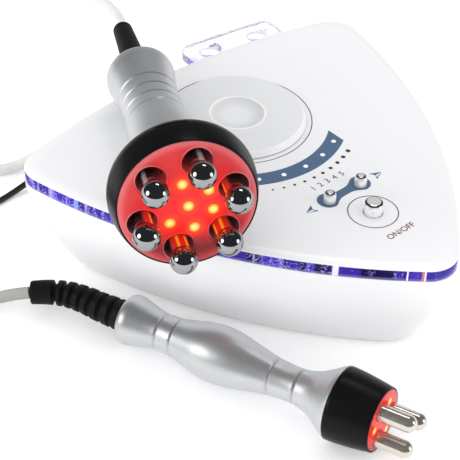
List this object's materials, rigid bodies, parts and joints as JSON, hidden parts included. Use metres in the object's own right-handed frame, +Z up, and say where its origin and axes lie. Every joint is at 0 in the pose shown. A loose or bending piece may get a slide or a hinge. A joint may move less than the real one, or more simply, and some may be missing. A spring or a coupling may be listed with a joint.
{
  "type": "radio frequency beauty machine",
  "caption": "Three-cornered white console with a dial, a clear violet light band and a rear holder; a large ball-ended handset lies on its lid, a small pin-ended handset and cords beside it.",
  "frame": {"origin": "on the table top, under the centre of the bounding box of the console and its two handsets", "axes": "+Z up; -Y towards the user, where the console's front corner points; +X to the user's right"},
  "size_m": [0.393, 0.4338, 0.1338],
  "materials": {
    "white_gloss": "smooth white moulded plastic with a soft gloss",
    "violet_clear": "clear blue-violet moulded plastic, glossy",
    "clear_plastic": "clear colourless moulded plastic, glossy",
    "black_rubber": "matt black soft rubber",
    "steel": "smooth turned steel",
    "chrome": "polished chrome plate",
    "black_gloss": "black moulded plastic with a soft gloss",
    "clear_light": "water-clear lamp resin",
    "board": "green circuit board",
    "copper": "varnished copper winding and core",
    "red_lens": "clear red moulded plastic, glossy",
    "satin_silver": "satin silver, turned",
    "white_cord": "smooth white cord sheath",
    "grey_cord": "smooth grey cord sheath",
    "black_lead": "smooth black lead sheath"
  },
  "bodies": {
    "console": {"lid": "white_gloss", "base_shell": "white_gloss", "light_band": "violet_clear", "handset_holder": "clear_plastic", "foot_front": "black_rubber", "foot_left": "black_rubber", "foot_right": "black_rubber", "case_screw_front": "steel", "case_screw_left": "steel", "case_screw_right": "steel", "dial_encoder": "steel", "large_handset_socket": "steel", "small_handset_socket": "steel", "power_switch": "black_gloss", "intensity_down_switch": "black_gloss", "intensity_up_switch": "black_gloss", "power_jack": "black_gloss", "large_cord_plug": "black_gloss", "small_cord_plug": "black_gloss", "power_lead_plug": "black_gloss", "wall_adapter": "black_gloss", "level_light_1": "clear_light", "level_light_2": "clear_light", "level_light_3": "clear_light", "level_light_4": "clear_light", "level_light_5": "clear_light", "control_board": "board", "rf_board": "board", "rf_transformer": "copper", "large_cord_out": "white_cord", "large_cord_coil": "white_cord", "large_cord_back": "white_cord", "small_cord_out": "grey_cord", "small_cord_coil": "grey_cord", "power_lead_out": "black_lead", "power_lead_coil": "black_lead"},
    "power_button": {"power_button": "chrome"},
    "intensity_down_button": {"intensity_down_button": "chrome"},
    "intensity_up_button": {"intensity_up_button": "chrome"},
    "dial": {"dial": "white_gloss"},
    "large_handset": {"large_lens": "red_lens", "large_head_collar": "black_gloss", "large_light_board": "board", "ball_electrode_1": "chrome", "ball_electrode_2": "chrome", "ball_electrode_3": "chrome", "ball_electrode_4": "chrome", "ball_electrode_5": "chrome", "ball_electrode_6": "chrome", "large_grip_shell": "satin_silver", "large_strain_relief": "black_rubber"},
    "small_handset": {"small_grip_shell": "satin_silver", "small_head_cup": "black_gloss", "small_lens": "red_lens", "small_light_board": "board", "pin_electrode_1": "steel", "pin_electrode_2": "steel", "pin_electrode_3": "steel", "small_strain_relief": "black_rubber"}
  },
  "joints": [
    {"name": "power_button_press", "type": "slide", "parent": "console", "child": "power_button", "axis": [0, 0, -1], "range_m": [0, 0.0008], "stiffness_N_per_m": 400, "springref_m": -0.002},
    {"name": "intensity_down_button_press", "type": "slide", "parent": "console", "child": "intensity_down_button", "axis": [0, 0, -1], "range_m": [0, 0.0008], "stiffness_N_per_m": 400, "springref_m": -0.002},
    {"name": "intensity_up_button_press", "type": "slide", "parent": "console", "child": "intensity_up_button", "axis": [0, 0, -1], "range_m": [0, 0.0008], "stiffness_N_per_m": 400, "springref_m": -0.002},
    {"name": "dial_turn", "type": "hinge", "parent": "console", "child": "dial", "pos_m": [0.01166, 0.05216, 0.0665], "axis": [0, 0, 1], "continuous": true},
    {"name": "large_handset_lift", "type": "slide", "parent": "console", "child": "large_handset", "axis": [0, 0, 1], "range_m": [0, 0.12]},
    {"name": "small_handset_lift", "type": "slide", "parent": "console", "child": "small_handset", "axis": [0, -0.8, 0.6], "range_m": [0, 0.15]}
  ]
}
